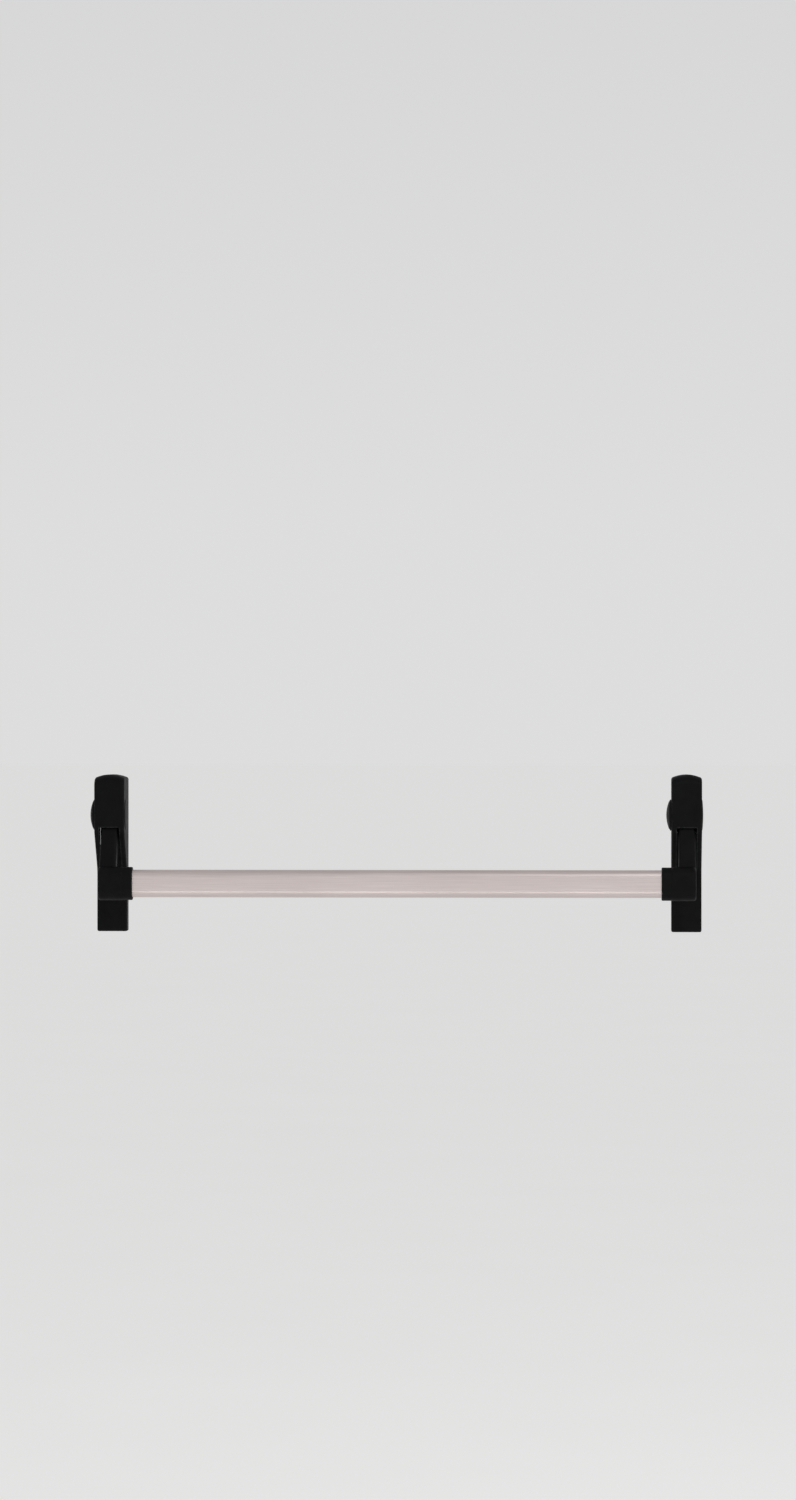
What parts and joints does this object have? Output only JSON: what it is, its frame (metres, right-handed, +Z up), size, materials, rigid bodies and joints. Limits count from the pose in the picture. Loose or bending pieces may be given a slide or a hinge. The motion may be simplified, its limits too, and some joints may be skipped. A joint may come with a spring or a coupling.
{
  "type": "panic exit bar",
  "caption": "Push-bar panic exit device: an oval satin bar on two black lever arms that swing in domed cases and turn a square lock spindle.",
  "frame": {"origin": "centre of the lock-side case's four fixing holes, on the door face", "axes": "+X along the bar from the lock side to the hinge side, +Y into the door, +Z up"},
  "size_m": [0.8935, 0.16, 0.23],
  "materials": {
    "black_coating": "satin black powder coat on a casting",
    "satin_bar": "fine satin, brushed along the bar",
    "plated_steel": "zinc plated sheet",
    "black_plated": "black zinc plate",
    "bright_steel": "turned",
    "spring_steel": "oiled",
    "black_screws": "black oxide",
    "bronze": "sintered",
    "nylon": "moulded",
    "rubber": "matt"
  },
  "bodies": {
    "cases": {"lock_base_plate": "plated_steel", "lock_chassis": "black_plated", "lock_chassis_rivets": "black_plated", "lock_cover": "black_coating", "lock_cover_screws": "black_screws", "lock_large_cap": "black_coating", "lock_small_cap": "black_coating", "lock_pivot_pin": "bright_steel", "lock_pin_clips": "spring_steel", "lock_guide_posts": "black_plated", "lock_guide_bridge": "black_plated", "lock_return_spring": "spring_steel", "lock_spring_rod": "black_plated", "lock_spring_bracket": "black_plated", "lock_bracket_rivet": "black_plated", "lock_end_buffer": "rubber", "lock_rest_buffer": "rubber", "hinge_base_plate": "plated_steel", "hinge_chassis": "black_plated", "hinge_chassis_rivets": "black_plated", "hinge_cover": "black_coating", "hinge_cover_screws": "black_screws", "hinge_large_cap": "black_coating", "hinge_small_cap": "black_coating", "hinge_pivot_pin": "bright_steel", "hinge_pin_clips": "spring_steel", "hinge_guide_posts": "black_plated", "hinge_guide_bridge": "black_plated", "hinge_return_spring": "spring_steel", "hinge_spring_rod": "black_plated", "hinge_spring_bracket": "black_plated", "hinge_bracket_rivet": "black_plated", "hinge_end_buffer": "rubber", "hinge_rest_buffer": "rubber", "lock_follower_bush": "bronze"},
    "push_bar": {"lock_arm": "black_coating", "lock_arm_bushes": "bronze", "lock_crank_pin": "bright_steel", "lock_bar_plug": "nylon", "lock_bar_screws": "black_screws", "hinge_arm": "black_coating", "hinge_arm_bushes": "bronze", "hinge_crank_pin": "bright_steel", "hinge_bar_plug": "nylon", "hinge_bar_screws": "black_screws", "bar_tube": "satin_bar"},
    "lock_slide_plate": {"lock_slide": "black_plated"},
    "hinge_slide_plate": {"hinge_slide": "black_plated"},
    "follower": {"lock_follower": "bright_steel", "lock_follower_pin": "bright_steel", "lock_follower_screw": "black_screws", "lock_spindle": "plated_steel"}
  },
  "joints": [
    {"name": "bar_press", "type": "hinge", "parent": "cases", "child": "push_bar", "pos_m": [0.42, -0.038, 0.056], "axis": [1, 0, 0], "range_deg": [0, 23], "stiffness_Nm_per_rad": 2.5, "springref_deg": -45.84},
    {"name": "lock_slide_lift", "type": "slide", "parent": "cases", "child": "lock_slide_plate", "axis": [0, 0, 1], "range_m": [0, 0.00758], "deforming": ["lock_return_spring"]},
    {"name": "hinge_slide_lift", "type": "slide", "parent": "cases", "child": "hinge_slide_plate", "axis": [0, 0, 1], "range_m": [0, 0.00758], "deforming": ["hinge_return_spring"]},
    {"name": "follower_turn", "type": "hinge", "parent": "cases", "child": "follower", "pos_m": [0, -0.01, 0], "axis": [0, -1, 0], "range_deg": [0, 42]}
  ],
  "couplings": [
    {"joint": "lock_slide_lift", "follows": "bar_press", "m_per_rad": 0.018873},
    {"joint": "hinge_slide_lift", "follows": "bar_press", "m_per_rad": 0.018873},
    {"joint": "follower_turn", "follows": "bar_press", "ratio": 1.826}
  ]
}
